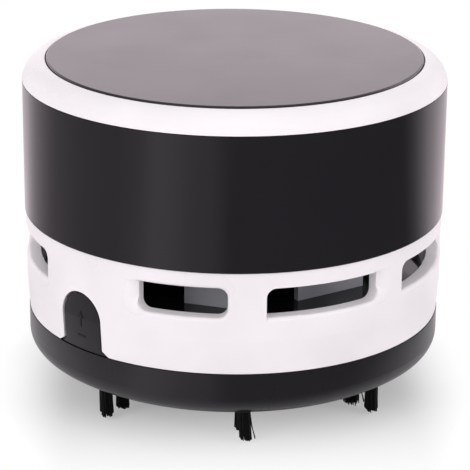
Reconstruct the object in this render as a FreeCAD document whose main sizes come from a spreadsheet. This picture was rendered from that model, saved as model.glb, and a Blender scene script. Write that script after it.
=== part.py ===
import FreeCAD, Part

import math
import os
import re

from FreeCAD import Placement, Rotation, Vector
from Sketcher import Constraint

# Desktop mini vacuum cleaner. Millimetres, +Z up, origin on the desk under the middle of the
# object, -Y towards the pillar between two exhaust slots that counts as the front.
# Azimuths are measured about Z from -Y towards +X.

DRIVING_SIZES = {
    # shells, from the desk up
    "outer_radius": 42.5,
    "vent_radius": 42.2,
    "vent_foot_radius": 41.8,
    "base_radius": 41.9,
    "wall": 2.0,
    "base_bottom": 6.4,
    "base_rim": 17.55,
    "spigot_top": 19.8,
    "vent_foot": 17.7,
    "vent_top": 38.2,
    "band_foot": 38.2,
    "band_top": 64.9,
    "lid_foot": 65.05,
    "lid_lip": 68.95,
    "disc_radius": 37.7,
    "disc_top": 69.3,
    "disc_thickness": 1.4,
    "gusset_count": 8,
    "gusset_azimuth": 22.5,
    "gusset_reach": 2.4,
    # base tray
    "base_flat_radius": 35.6,
    "base_bevel_height": 4.3,
    "base_low_round": 16.5,
    "base_high_round": 3.7,
    "base_wall": 1.9,
    "inlet_radius": 8.0,
    "inlet_throat_radius": 7.0,
    "inlet_wall": 1.4,
    "inlet_height": 15.5,
    # bristle tufts
    "tuft_radius": 1.45,
    "tuft_count": 7,
    "inner_tuft_circle": 29.7,
    "outer_tuft_circle": 34.0,
    "tuft_top": 9.6,
    "tuft_boss_radius": 2.5,
    "tuft_boss_top": 10.6,
    "tuft_slant": 14.0,
    # exhaust slots
    "slot_bottom": 29.0,
    "slot_top": 35.0,
    "slot_wall_radius": 39.4,
    "pillar_half_angle": 5.0,
    "slot_angle": 33.0,
    "slot_pitch": 42.1,
    "right_slots": 4,
    "left_slots": 3,
    "left_slot_start": 63.1,
    "short_slot_angle": 24.3,
    "slot_corner": 1.9,
    "slot_lip_round": 0.7,
    "scoop_reach": 3.2,
    "scoop_depth": 0.98,
    "scoop_corner": 1.45,
    "scoop_round": 4.85,
    # release tab
    "tab_azimuth": -48.2,
    "tab_half_width": 5.3,
    "tab_top": 29.5,
    "tab_foot_half_width": 6.85,
    "tab_foot_height": 1.0,
    "tab_bevel": 0.35,
    "tab_gap": 0.2,
    "tab_inner_radius": 39.4,
    "hook_inner_radius": 36.6,
    "hook_outer_radius": 37.9,
    "hook_bottom": 14.6,
    "hook_half_width": 2.6,
    "hook_bridge_rise": 1.1,
    "tab_spring_height": 22.4,
    "tab_spring_radius": 0.95,
    "tab_spring_wire": 0.2,
    "tab_travel": 1.2,
    # fan
    "deck_bottom": 23.7,
    "deck_top": 25.2,
    "deck_radius": 40.0,
    "eye_radius": 11.5,
    "vane_top": 36.3,
    "vane_count": 7,
    "vane_thickness": 1.4,
    "vane_inner_radius": 25.8,
    "vane_inner_azimuth": 26.05,
    "vane_outer_radius": 29.3,
    "vane_outer_azimuth": 58.65,
    "vane_face_azimuth": 30.1,
    "vane_ring_inner": 24.2,
    "vane_ring_outer": 31.2,
    "vane_ring_height": 1.0,
    "impeller_radius": 23.5,
    "hub_radius": 3.4,
    "blade_count": 9,
    "blade_bottom": 26.8,
    "backplate_bottom": 33.0,
    "backplate_top": 34.2,
    "shaft_radius": 1.0,
    "shaft_gap": 0.06,
    # filter under the fan deck
    "collar_bottom": 21.2,
    "collar_radius": 36.4,
    "filter_radius": 34.9,
    "filter_bottom": 20.4,
    "filter_top": 23.1,
    "mesh_thickness": 0.4,
    # posts and screws
    "post_circle": 36.5,
    "post_radius": 2.0,
    "screw_radius": 0.8,
    "screw_clearance": 1.1,
    "head_radius": 1.7,
    "head_height": 1.3,
    "holder_screw_offset": 20.5,
    # motor
    "floor_bottom": 36.4,
    "floor_top": 38.4,
    "motor_radius": 10.0,
    "motor_half_flat": 7.55,
    "can_top": 58.9,
    "bell_top": 62.4,
    "damper": 0.9,
    # cells and their holder
    "cell_radius": 7.1,
    "cell_length": 49.3,
    "cell_offset": 17.1,
    "holder_floor": 39.8,
    "holder_top": 51.0,
    "holder_half_width": 26.2,
    "holder_half_length": 30.0,
    "bay_inner": 9.6,
    "bay_half_length": 28.3,
    "cradle_offset": 14.0,
    "cradle_height": 3.6,
    "nub_radius": 2.7,
    "nub_length": 1.2,
    "plate_thickness": 0.4,
    "contact_half_width": 4.5,
    "contact_spring_foot": 3.4,
    "contact_spring_tip": 2.0,
    "contact_wire": 0.3,
    # slide switch at the back
    "switch_height": 52.0,
    "switch_travel": 4.0,
    "knob_length": 6.2,
    "knob_height": 4.2,
    "knob_gap": 0.15,
    "switch_face": 38.4,
    "switch_screw_offset": 7.6,
    "switch_screw_radius": 0.7,
    "recess_depth": 1.0,
    # leads
    "lead_radius": 0.5,
    "bridge_width": 1.3,
}

DOC = FreeCAD.newDocument("DesktopMiniVacuum")
SIZES = DOC.addObject("Spreadsheet::Sheet", "Sizes")
NODES = []


def fill_sheet():
    for row, (alias, value) in enumerate(DRIVING_SIZES.items(), start=1):
        SIZES.set("A%d" % row, alias)
        SIZES.set("B%d" % row, str(value))
        SIZES.setAlias("B%d" % row, alias)
    DOC.recompute()


def size(text):
    """The number that an expression of sheet aliases has now."""
    return float(SIZES.evalExpression(text))


def bound(text):
    """The same expression as another object writes it, with the sheet's name before each alias."""
    def named(found):
        word = found.group()
        return "Sizes." + word if word in DRIVING_SIZES else word
    return re.sub(r"[a-z_]+", named, text)


def body(name):
    made = DOC.addObject("PartDesign::Body", name)
    made.Label = name
    return made


def origin_plane(owner, role):
    return next(item for item in owner.Origin.OriginFeatures if item.Role == role)


def sketch_on(owner, name, role, lift="0", turn="0"):
    """A sketch on an origin plane: lift moves it along its normal, turn spins it about Z."""
    made = owner.newObject("Sketcher::SketchObject", name)
    made.AttachmentSupport = [(origin_plane(owner, role), "")]
    made.MapMode = "FlatFace"
    spin_axis = Vector(0, 0, 1) if role == "XY_Plane" else Vector(0, 1, 0)
    made.AttachmentOffset = Placement(Vector(0, 0, size(lift)), Rotation(spin_axis, size(turn)))
    if lift != "0" and turn != "0" and role != "XY_Plane":
        made.setExpression("AttachmentOffset.Base.x", bound("(%s) * sin(%s)" % (lift, turn)))
        made.setExpression("AttachmentOffset.Base.z", bound("(%s) * cos(%s)" % (lift, turn)))
    elif lift != "0":
        made.setExpression("AttachmentOffset.Base.z", bound(lift))
    if turn != "0":
        made.setExpression("AttachmentOffset.Rotation.Angle", bound(turn))
    return made


def constrain(sketch, text, kind, *places):
    """A driving distance or radius, bound to the sheet."""
    index = sketch.addConstraint(Constraint(kind, *places, size(text)))
    sketch.setExpression("Constraints[%d]" % index, bound(text))


def place_point(sketch, geometry, end, across, up):
    """Puts one point of the sketch at bound coordinates."""
    for kind, axis, text in (("DistanceX", -2, across), ("DistanceY", -1, up)):
        value = size(text)
        if abs(value) < 1e-9:
            sketch.addConstraint(Constraint("PointOnObject", geometry, end, axis))
        elif value > 0:
            constrain(sketch, text, kind, -1, 1, geometry, end)
        else:
            constrain(sketch, "-(%s)" % text, kind, geometry, end, -1, 1)


def corner_round(before, corner, after, radius):
    """The tangent points and centre of a round of this radius in a corner."""
    back = (before - corner).normalize()
    on = (after - corner).normalize()
    half = back.getAngle(on) / 2
    reach = radius / math.tan(half)
    centre = corner + (back + on).normalize() * (radius / math.sin(half))
    return corner + back * reach, corner + on * reach, centre


def outline(sketch, corners):
    """A closed outline through the corners, each (across, up) or (across, up, round radius)."""
    count = len(corners)
    points = [Vector(size(corner[0]), size(corner[1]), 0) for corner in corners]
    entries = list(points)
    exits = list(points)
    centres = [None] * count
    for i, corner in enumerate(corners):
        if len(corner) == 3:
            entries[i], exits[i], centres[i] = corner_round(
                points[i - 1], points[i], points[(i + 1) % count], size(corner[2]))
    lines = [sketch.addGeometry(Part.LineSegment(exits[i], entries[(i + 1) % count]), False)
             for i in range(count)]
    for i, corner in enumerate(corners):
        line_in = lines[i - 1]
        line_out = lines[i]
        if centres[i] is None:
            sketch.addConstraint(Constraint("Coincident", line_in, 2, line_out, 1))
            place_point(sketch, line_out, 1, corner[0], corner[1])
            continue
        radius = size(corner[2])
        start = entries[i] - centres[i]
        stop = exits[i] - centres[i]
        start_angle = math.atan2(start.y, start.x)
        stop_angle = math.atan2(stop.y, stop.x)
        forward = (stop_angle - start_angle) % (2 * math.pi) < math.pi
        if not forward:
            start_angle, stop_angle = stop_angle, start_angle
        circle = Part.Circle(centres[i], Vector(0, 0, 1), radius)
        arc = sketch.addGeometry(Part.ArcOfCircle(circle, start_angle, stop_angle), False)
        corner_point = sketch.addGeometry(Part.Point(points[i]), True)
        sketch.addConstraint(Constraint("Tangent", line_in, 2, arc, 1 if forward else 2))
        sketch.addConstraint(Constraint("Tangent", arc, 2 if forward else 1, line_out, 1))
        sketch.addConstraint(Constraint("PointOnObject", corner_point, 1, line_in))
        sketch.addConstraint(Constraint("PointOnObject", corner_point, 1, line_out))
        constrain(sketch, corner[2], "Radius", arc)
        place_point(sketch, corner_point, 1, corner[0], corner[1])


def circle_in(sketch, across, up, radius):
    middle = Vector(size(across), size(up), 0)
    made = sketch.addGeometry(Part.Circle(middle, Vector(0, 0, 1), size(radius)), False)
    constrain(sketch, radius, "Radius", made)
    place_point(sketch, made, 3, across, up)


def rectangle(left, right, low, high):
    return [(left, low), (right, low), (right, high), (left, high)]


def revolve(owner, name, corners, cut=False, angle="360", turn="0"):
    """Spins a half section, given as radius and height, about Z."""
    sketch = sketch_on(owner, name + "_section", "XZ_Plane", turn=turn)
    outline(sketch, corners)
    kind = "PartDesign::Groove" if cut else "PartDesign::Revolution"
    made = owner.newObject(kind, name)
    made.Profile = sketch
    made.ReferenceAxis = (sketch, ["V_Axis"])
    made.Angle = size(angle)
    if angle != "360":
        made.setExpression("Angle", bound(angle))
    return made


def pad(owner, name, sketch, length):
    made = owner.newObject("PartDesign::Pad", name)
    made.Profile = sketch
    made.Length = size(length)
    made.setExpression("Length", bound(length))
    return made


def pocket(owner, name, sketch, length, reverse=False):
    """Cuts the sketch into the body and makes sure that it took something away."""
    DOC.recompute()
    before = owner.Shape.Volume
    made = owner.newObject("PartDesign::Pocket", name)
    made.Profile = sketch
    made.Length = size(length)
    made.setExpression("Length", bound(length))
    made.Reversed = reverse
    DOC.recompute()
    if made.Shape.isNull() or made.Shape.Volume > before - 1e-3:
        raise RuntimeError(name + " cuts nothing")
    return made


def around(owner, name, features, count):
    """Repeats features evenly round Z."""
    pattern = owner.newObject("PartDesign::PolarPattern", name)
    pattern.Originals = features
    pattern.Axis = (origin_axis(owner), [""])
    pattern.Angle = 360
    pattern.setExpression("Occurrences", bound(count))
    owner.Tip = pattern
    return pattern


def origin_axis(owner):
    return origin_plane(owner, "Z_Axis")


def finish(made):
    """Registers a finished sub-part."""
    NODES.append(made)
    return made


def edges_where(feature, test):
    """The names of a feature's edges that pass a test."""
    return ["Edge%d" % (i + 1) for i, edge in enumerate(feature.Shape.Edges) if test(edge)]


def fillet(owner, name, base, names, radius):
    made = owner.newObject("PartDesign::Fillet", name)
    made.Base = (base, names)
    made.Radius = size(radius)
    made.setExpression("Radius", bound(radius))
    owner.Tip = made
    return made


def joined_solids(name, shapes):
    """Several separate solids of one kind in one node."""
    made = DOC.addObject("Part::Feature", name)
    made.Label = name
    made.Shape = Part.makeCompound(shapes) if len(shapes) > 1 else shapes[0]
    return finish(made)


def at_azimuth(degrees, radius, height):
    turn = math.radians(degrees)
    return Vector(radius * math.sin(turn), -radius * math.cos(turn), height)


# ---------------------------------------------------------------- base tray and brushes

def base_tray():
    """Black dish: rounded rim, spigot into the vent shell, suction throat and tuft bosses."""
    made = body("base_tray")
    inside = "base_radius - base_wall"
    floor = "base_bottom + base_wall"
    revolve(made, "tray_wall", [
        ("inlet_radius", "base_bottom"),
        ("base_flat_radius", "base_bottom", "base_low_round"),
        ("base_radius", "base_bottom + base_bevel_height", "base_high_round"),
        ("base_radius", "base_rim"),
        ("vent_foot_radius - wall", "base_rim"),
        ("vent_foot_radius - wall", "spigot_top"),
        ("vent_foot_radius - wall - 1.6", "spigot_top"),
        ("vent_foot_radius - wall - 1.6", "base_rim - 0.8"),
        (inside, "base_rim - 2.6"),
        (inside, floor + " + base_bevel_height - 0.7", "base_high_round - base_wall"),
        ("base_flat_radius - 0.9", floor, "base_low_round - base_wall"),
        ("inlet_radius + inlet_wall + 0.4", floor, "0.8"),
        ("inlet_throat_radius + inlet_wall", "inlet_height"),
        ("inlet_throat_radius", "inlet_height"),
    ])
    bosses = sketch_on(made, "tuft_boss_plan", "XY_Plane", lift="base_bottom + 1")
    for ring in ("inner_tuft_circle", "outer_tuft_circle"):
        circle_in(bosses, "0", "-" + ring, "tuft_boss_radius")
    boss_pad = pad(made, "tuft_bosses", bosses, "tuft_boss_top - base_bottom - 1")
    boss_ring = around(made, "tuft_boss_ring", [boss_pad], "tuft_count")
    holes = sketch_on(made, "tuft_hole_plan", "XY_Plane")
    for ring in ("inner_tuft_circle", "outer_tuft_circle"):
        circle_in(holes, "0", "-" + ring, "tuft_radius")
    DOC.recompute()
    hole = pocket(made, "tuft_holes", holes, "tuft_top", reverse=True)
    around(made, "tuft_hole_ring", [hole], "tuft_count")
    notch = sketch_on(made, "hook_notch_plan", "XZ_Plane", turn="tab_azimuth")
    outline(notch, rectangle("-tab_foot_half_width - 1", "tab_foot_half_width + 1",
                             "base_rim", "spigot_top + 1"))
    pocket(made, "hook_notch", notch, "outer_radius", reverse=True)
    return finish(made)


def bristle_tufts(name, ring):
    """One ring of tufts, each a cylinder whose tip is trimmed at a slant."""
    radius = size("tuft_radius")
    top = size("tuft_top")
    tufts = []
    for k in range(int(size("tuft_count"))):
        azimuth = k * 360.0 / size("tuft_count")
        trim = Part.makeBox(4 * radius, 4 * radius, top, Vector(-2 * radius, -radius, -top))
        trim.rotate(Vector(0, -radius, 0), Vector(1, 0, 0), size("tuft_slant"))
        tuft = Part.makeCylinder(radius, top).cut(trim)
        tuft.Placement = Placement(at_azimuth(azimuth, size(ring), 0),
                                   Rotation(Vector(0, 0, 1), azimuth))
        tufts.append(tuft)
    return joined_solids(name, tufts)


# ---------------------------------------------------------------- vent shell

def vent_shell():
    """White ring with the exhaust slots and the arched cut-out of the release tab."""
    made = body("vent_shell")
    inside = "vent_radius - wall"
    revolve(made, "vent_wall", [
        ("vent_foot_radius - wall + 0.4", "vent_foot"),
        ("vent_foot_radius", "vent_foot"),
        ("vent_radius", "vent_foot + 6.5"),
        ("vent_radius", "vent_top"),
        (inside, "vent_top"),
        (inside, "floor_bottom"),
        ("slot_wall_radius", "floor_bottom"),
        ("slot_wall_radius", "deck_top + 1.3"),
        (inside + " - 1.5", "deck_top + 1.3"),
        (inside + " - 1.5", "deck_top"),
        (inside, "deck_top"),
    ], turn="-90")
    last_left = "-left_slot_start - slot_angle - slot_pitch * (left_slots - 1)"
    right = slot_cut(made, "right_slot", "pillar_half_angle", "slot_angle")
    in_steps(made, "right_slot_row", [right], "right_slots")
    left = slot_cut(made, "left_slot", last_left, "slot_angle")
    in_steps(made, "left_slot_row", [left], "left_slots")
    slot_cut(made, "short_slot", "-pillar_half_angle - short_slot_angle", "short_slot_angle")
    DOC.recompute()
    round_slots(made)
    right = scoop(made, "right_scoop", "pillar_half_angle + slot_angle", "")
    in_steps(made, "right_scoop_row", right, "right_slots")
    left = scoop(made, "left_scoop", last_left, "-")
    in_steps(made, "left_scoop_row", left, "left_slots")
    scoop(made, "short_scoop", "-pillar_half_angle - short_slot_angle", "-")
    arch = sketch_on(made, "tab_cut_plan", "XZ_Plane", turn="tab_azimuth")
    tab_arch(arch, "tab_gap", "vent_foot - 1")
    pocket(made, "tab_cut", arch, "outer_radius + 2", reverse=True)
    return finish(made)


def slot_cut(made, name, start, angle):
    """One exhaust slot through the wall, from an azimuth onwards."""
    section = rectangle("vent_radius - 2 * wall", "vent_radius + wall", "slot_bottom", "slot_top")
    return revolve(made, name, section, cut=True, angle=angle, turn="%s - 90" % start)


def in_steps(owner, name, features, count):
    """Repeats features round Z, one slot pitch apart."""
    pattern = owner.newObject("PartDesign::PolarPattern", name)
    pattern.Originals = features
    pattern.Axis = (origin_axis(owner), [""])
    pattern.Mode = "Spacing"
    pattern.setExpression("Offset", bound("slot_pitch"))
    pattern.setExpression("Occurrences", bound(count))
    owner.Tip = pattern


def slot_ends():
    """The azimuths of every slot's near and far end, near being the end towards the front."""
    width = size("slot_angle")
    pitch = size("slot_pitch")
    first = size("pillar_half_angle")
    left = -size("left_slot_start")
    slots = [(first + pitch * k, first + pitch * k + width) for k in range(int(size("right_slots")))]
    slots += [(left - pitch * k, left - pitch * k - width) for k in range(int(size("left_slots")))]
    return slots + [(-first, -first - size("short_slot_angle"))]


def round_slots(made):
    """Rounds each slot's upper near and lower far corners, the short slot's lower near one, and the lip."""
    low = size("slot_bottom")
    high = size("slot_top")
    outer = size("vent_radius")
    near_ends, far_ends = zip(*slot_ends())
    rounded_at = {low: far_ends + near_ends[-1:], high: near_ends}

    def at_rounded_corner(edge):
        if not isinstance(edge.Curve, Part.Line) or len(edge.Vertexes) != 2:
            return False
        a, b = (vertex.Point for vertex in edge.Vertexes)
        azimuth = math.degrees(math.atan2(a.x, -a.y))
        for height, azimuths in rounded_at.items():
            if abs(a.z - height) < 1e-6 and abs(b.z - height) < 1e-6:
                return any(abs((azimuth - other + 180) % 360 - 180) < 0.1 for other in azimuths)
        return False

    corners = fillet(made, "slot_corners", made.Tip, edges_where(made.Tip, at_rounded_corner),
                     "slot_corner")
    DOC.recompute()

    def lower_outer(edge):
        box = edge.BoundBox
        if abs(box.ZMin - low) > 1e-6 or abs(box.ZMax - low) > 1e-6:
            return False
        return all(abs(math.hypot(v.Point.x, v.Point.y) - outer) < 1e-3 for v in edge.Vertexes)

    fillet(made, "slot_lips", corners, edges_where(corners, lower_outer), "slot_lip_round")


def scoop(made, name, azimuth, hand):
    """The soft hollow beyond a slot's far end: upright above, a quarter round below."""
    level = "slot_top - scoop_reach - 0.05"
    sketches = []
    for part in ("_upper", "_lower"):
        sketch = sketch_on(made, name + part + "_plan", "XY_Plane", lift=level, turn=azimuth)
        outline(sketch, [
            ("0", "scoop_depth - vent_radius"),
            (hand + "scoop_corner", "-vent_radius - 0.02", "scoop_round"),
            (hand + "(scoop_reach + 0.4)", "0.14 - vent_radius"),
            (hand + "(scoop_reach + 0.4)", "-vent_radius - 1.5"),
            ("0", "-vent_radius - 1.5"),
        ])
        sketches.append(sketch)
    upper = pocket(made, name + "_upper", sketches[0], "scoop_reach + 0.05", reverse=True)
    lower = made.newObject("PartDesign::Groove", name + "_lower")
    lower.Profile = sketches[1]
    lower.ReferenceAxis = (sketches[1], ["V_Axis"])
    lower.Angle = 360
    DOC.recompute()
    return [upper, lower]


def tab_arch(sketch, gap, low):
    """The tab's outline: flared foot, straight sides and a half-round top, grown by a gap."""
    half_text = "tab_half_width + " + gap
    foot_text = "tab_foot_half_width + " + gap
    flare_text = "vent_foot + tab_foot_height"
    half = size(half_text)
    foot = size(foot_text)
    shoulder = size("tab_top - tab_half_width")
    corners = [(half, shoulder), (half, size(flare_text)), (foot, size("vent_foot")),
               (foot, size(low))]
    circle = Part.Circle(Vector(0, shoulder, 0), Vector(0, 0, 1), half)
    arc = sketch.addGeometry(Part.ArcOfCircle(circle, 0, math.pi), False)
    sides = []
    for sign, text_sign, arc_end in ((1, "", 1), (-1, "-", 2)):
        points = [Vector(sign * across, up, 0) for across, up in corners]
        side = [sketch.addGeometry(Part.LineSegment(start, stop), False)
                for start, stop in zip(points, points[1:])]
        sketch.addConstraint(Constraint("Coincident", arc, arc_end, side[0], 1))
        for upper, lower in zip(side, side[1:]):
            sketch.addConstraint(Constraint("Coincident", upper, 2, lower, 1))
        place_point(sketch, side[1], 1, "%s(%s)" % (text_sign, half_text), flare_text)
        place_point(sketch, side[2], 1, "%s(%s)" % (text_sign, foot_text), "vent_foot")
        place_point(sketch, side[2], 2, "%s(%s)" % (text_sign, foot_text), low)
        sides.append((side[-1], points[-1]))
    floor_line = Part.LineSegment(sides[0][1], sides[1][1])
    floor = sketch.addGeometry(floor_line, False)
    sketch.addConstraint(Constraint("Coincident", sides[0][0], 2, floor, 1))
    sketch.addConstraint(Constraint("Coincident", sides[1][0], 2, floor, 2))
    place_point(sketch, arc, 3, "0", "tab_top - tab_half_width")
    constrain(sketch, half_text, "Radius", arc)
    for end in (1, 2):
        sketch.addConstraint(Constraint("Horizontal", arc, end, arc, 3))


# ---------------------------------------------------------------- Part primitives

def block(name, low, high):
    """A box between two corners, each three expressions."""
    made = DOC.addObject("Part::Box", name)
    for side, axis, start, stop in zip(("Length", "Width", "Height"), "xyz", low, high):
        made.setExpression(side, bound("(%s) - (%s)" % (stop, start)))
        made.setExpression("Placement.Base." + axis, bound(start))
    return made


def rod(name, radius, low, high, across="0", along="0"):
    """An upright cylinder between two heights."""
    made = DOC.addObject("Part::Cylinder", name)
    made.setExpression("Radius", bound(radius))
    made.setExpression("Height", bound("(%s) - (%s)" % (high, low)))
    for axis, text in zip("xyz", (across, along, low)):
        made.setExpression("Placement.Base." + axis, bound(text))
    return made


def lying_rod(name, radius, start, stop, across, up):
    """A cylinder along +Y between two places."""
    made = DOC.addObject("Part::Cylinder", name)
    made.Placement = Placement(Vector(), Rotation(Vector(1, 0, 0), -90))
    made.setExpression("Radius", bound(radius))
    made.setExpression("Height", bound("(%s) - (%s)" % (stop, start)))
    for axis, text in zip("xyz", (across, start, up)):
        made.setExpression("Placement.Base." + axis, bound(text))
    return made


def cut(name, base, tool):
    made = DOC.addObject("Part::Cut", name)
    made.Base = base
    made.Tool = tool
    return labelled(made, name)


def common(name, base, tool):
    made = DOC.addObject("Part::Common", name)
    made.Base = base
    made.Tool = tool
    return labelled(made, name)


def fuse(name, shapes):
    made = DOC.addObject("Part::MultiFuse", name)
    made.Shapes = shapes
    return labelled(made, name)


def group(name, shapes):
    """Separate solids that share one node."""
    made = DOC.addObject("Part::Compound", name)
    made.Links = shapes
    return labelled(made, name)


def labelled(made, name):
    made.Label = name
    return made


# ---------------------------------------------------------------- release tab

def release_tab():
    """Arched push tab: curved face, hook that reaches under the tray's lip, spring pin."""
    face = body("tab_face_ring")
    foot = "vent_foot + 0.05"
    revolve(face, "tab_face", [
        ("tab_inner_radius", foot),
        ("vent_foot_radius - 0.1", foot),
        ("vent_radius - 0.1", "vent_foot + 6.5"),
        ("vent_radius - 0.1", "tab_top + 1"),
        ("tab_inner_radius", "tab_top + 1"),
    ])
    prism = body("tab_outline_prism")
    arch = sketch_on(prism, "tab_plan", "XZ_Plane", turn="tab_azimuth")
    tab_arch(arch, "0", "vent_foot - 1")
    pad(prism, "tab_prism", arch, "outer_radius + 2")
    shield = bevelled_shield(common("tab_plate", face, prism))
    hook = body("tab_hook")
    tab_bar(hook, "hook_arm", "hook_inner_radius", "hook_outer_radius - 0.4", "hook_bottom",
            "spigot_top + hook_bridge_rise")
    tab_bar(hook, "hook_nose", "hook_outer_radius - 0.6", "hook_outer_radius", "hook_bottom",
            "hook_bottom + 1.3")
    tab_bar(hook, "hook_bridge", "hook_outer_radius - 0.6", "tab_inner_radius + 0.4",
            "spigot_top - 0.4", "spigot_top + hook_bridge_rise")
    pin_body = body("tab_spring_pin")
    pin_plan = sketch_on(pin_body, "pin_plan", "XZ_Plane", lift="tab_inner_radius - 1.2",
                         turn="tab_azimuth")
    circle_in(pin_plan, "0", "tab_spring_height", "0.6")
    pad(pin_body, "pin", pin_plan, "1.6")
    finish(fuse("release_tab", [shield, hook, pin_body]))


def bevelled_shield(plate):
    """The tab's plate with a bevel along the arch and the sides of its outer face."""
    DOC.recompute()
    outer = size("vent_radius - 0.1")
    bevel = size("tab_bevel")
    edges = []
    for index, edge in enumerate(plate.Shape.Edges, start=1):
        middle = edge.valueAt((edge.FirstParameter + edge.LastParameter) / 2)
        if math.hypot(middle.x, middle.y) > outer - 0.4 and middle.z > size("vent_foot + 0.3"):
            ends = [vertex.Point for vertex in edge.Vertexes]
            if abs(ends[0].z - ends[-1].z) > 0.5 or middle.z > size("tab_top - 0.2"):
                edges.append((index, bevel, bevel))
    made = DOC.addObject("Part::Chamfer", "tab_shield")
    made.Base = plate
    made.Edges = edges
    return made


def tab_bar(owner, name, near, far, low, high):
    """A block of the tab between two distances from the axis."""
    plan = sketch_on(owner, name + "_plan", "XZ_Plane", lift=near, turn="tab_azimuth")
    outline(plan, rectangle("-hook_half_width", "hook_half_width", low, high))
    return pad(owner, name, plan, "(%s) - (%s)" % (far, near))


def coil(height, turns, foot_radius, tip_radius, half_wire, sides=14):
    """A coil spring standing on the origin, swept with a square wire in short straight steps."""
    steps = turns * sides
    path = []
    for k in range(steps + 1):
        turn = 2 * math.pi * k / sides
        radius = foot_radius + (tip_radius - foot_radius) * k / steps
        path.append(Vector(radius * math.cos(turn), radius * math.sin(turn), height * k / steps))
    along = (path[1] - path[0]).normalize()
    level = along.cross(Vector(0, 0, 1)).normalize()
    upright = level.cross(along)
    section = [path[0] + level * (a * half_wire) + upright * (b * half_wire)
               for a, b in ((-1, -1), (1, -1), (1, 1), (-1, 1), (-1, -1))]
    sharp_corners = 1
    return Part.makePolygon(path).makePipeShell([Part.makePolygon(section)], True, False,
                                                sharp_corners)


def tab_spring():
    """Small coil between the filter collar and the tab."""
    half_wire = size("tab_spring_wire")
    near = size("collar_radius") + half_wire * 1.3
    far = size("tab_inner_radius") - half_wire * 1.3
    spring = coil(far - near, 4, size("tab_spring_radius"), size("tab_spring_radius"), half_wire)
    outward = at_azimuth(size("tab_azimuth"), 1, 0)
    spring.Placement = Placement(at_azimuth(size("tab_azimuth"), near, size("tab_spring_height")),
                                 Rotation(Vector(0, 0, 1), outward))
    joined_solids("tab_spring", [spring])


# ---------------------------------------------------------------- fan and filter

def fan_deck():
    """Black plate with the fan's eye, the filter collar and the screw posts."""
    made = body("diffuser_deck")
    revolve(made, "deck", [
        ("eye_radius", "deck_bottom"),
        ("filter_radius + 0.1", "deck_bottom"),
        ("filter_radius + 0.1", "collar_bottom"),
        ("collar_radius", "collar_bottom"),
        ("collar_radius", "deck_bottom"),
        ("deck_radius", "deck_bottom"),
        ("deck_radius", "deck_top"),
        ("eye_radius + 1.4", "deck_top"),
        ("eye_radius + 1.2", "deck_top + 0.9"),
        ("eye_radius", "deck_top + 0.9"),
    ])
    posts = sketch_on(made, "post_plan", "XY_Plane", lift="deck_top - 0.3")
    for k in range(3):
        circle_in(posts, *post_place(k), "post_radius")
    pad(made, "posts", posts, "floor_bottom - deck_top + 0.3")
    pilots = sketch_on(made, "pilot_plan", "XY_Plane", lift="floor_bottom")
    for k in range(3):
        circle_in(pilots, *post_place(k), "screw_radius")
    pocket(made, "pilots", pilots, "8.5")
    notch = sketch_on(made, "tab_notch_plan", "XZ_Plane", lift="tab_inner_radius - tab_travel - 0.9",
                      turn="tab_azimuth")
    outline(notch, rectangle("-tab_half_width - 0.6", "tab_half_width + 0.6",
                             "deck_bottom - 1", "deck_top + 1"))
    pocket(made, "tab_notch", notch, "6", reverse=True)
    return finish(made)


def diffuser_vanes():
    """Grey ring over the deck with the vanes that stand down from it and turn the fan's air."""
    made = body("diffuser_vanes")
    revolve(made, "vane_ring", rectangle("vane_ring_inner", "vane_ring_outer",
                                         "vane_top - vane_ring_height", "vane_top"))
    plan = sketch_on(made, "vane_plan", "XY_Plane", lift="deck_top")
    near = ("vane_inner_radius * sin(vane_inner_azimuth)",
            "-vane_inner_radius * cos(vane_inner_azimuth)")
    far = ("vane_outer_radius * sin(vane_outer_azimuth)",
           "-vane_outer_radius * cos(vane_outer_azimuth)")
    back = ("-vane_thickness * sin(vane_face_azimuth)", "vane_thickness * cos(vane_face_azimuth)")
    outline(plan, [
        near,
        far,
        ("%s + (%s)" % (far[0], back[0]), "%s + %s" % (far[1], back[1])),
        ("%s + (%s)" % (near[0], back[0]), "%s + %s" % (near[1], back[1])),
    ])
    vane = pad(made, "vane", plan, "vane_top - deck_top - vane_ring_height / 2")
    around(made, "vanes", [vane], "vane_count")
    return finish(made)


def post_place(k):
    """Where screw post k stands, behind a pillar of the vent shell."""
    pillar_half = "(slot_pitch - slot_angle) / 2"
    turn = ("0", "(pillar_half_angle + 3 * slot_pitch - %s)" % pillar_half,
            "(-left_slot_start - slot_angle - %s)" % pillar_half)[k]
    return "post_circle * sin(%s)" % turn, "-post_circle * cos(%s)" % turn


def impeller():
    """Backward-curved centrifugal wheel under its back plate."""
    made = body("impeller")
    revolve(made, "wheel", [
        ("shaft_radius", "blade_bottom + 0.4"),
        ("hub_radius", "blade_bottom + 0.4"),
        ("hub_radius", "backplate_bottom"),
        ("impeller_radius", "backplate_bottom"),
        ("impeller_radius", "backplate_top"),
        ("shaft_radius", "backplate_top"),
    ])
    plan = sketch_on(made, "blade_plan", "XY_Plane", lift="blade_bottom")
    outline(plan, [
        ("impeller_radius * 0.36", "0"),
        ("impeller_radius * 0.70", "0", "impeller_radius * 0.4"),
        ("impeller_radius * 0.955", "-impeller_radius * 0.25"),
        ("impeller_radius * 0.93", "-impeller_radius * 0.29"),
        ("impeller_radius * 0.685", "-impeller_radius * 0.045", "impeller_radius * 0.4 + 1"),
        ("impeller_radius * 0.36", "-impeller_radius * 0.045"),
    ])
    blade = pad(made, "blade", plan, "backplate_bottom - blade_bottom + 0.2")
    around(made, "blades", [blade], "blade_count")
    return finish(made)


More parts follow.
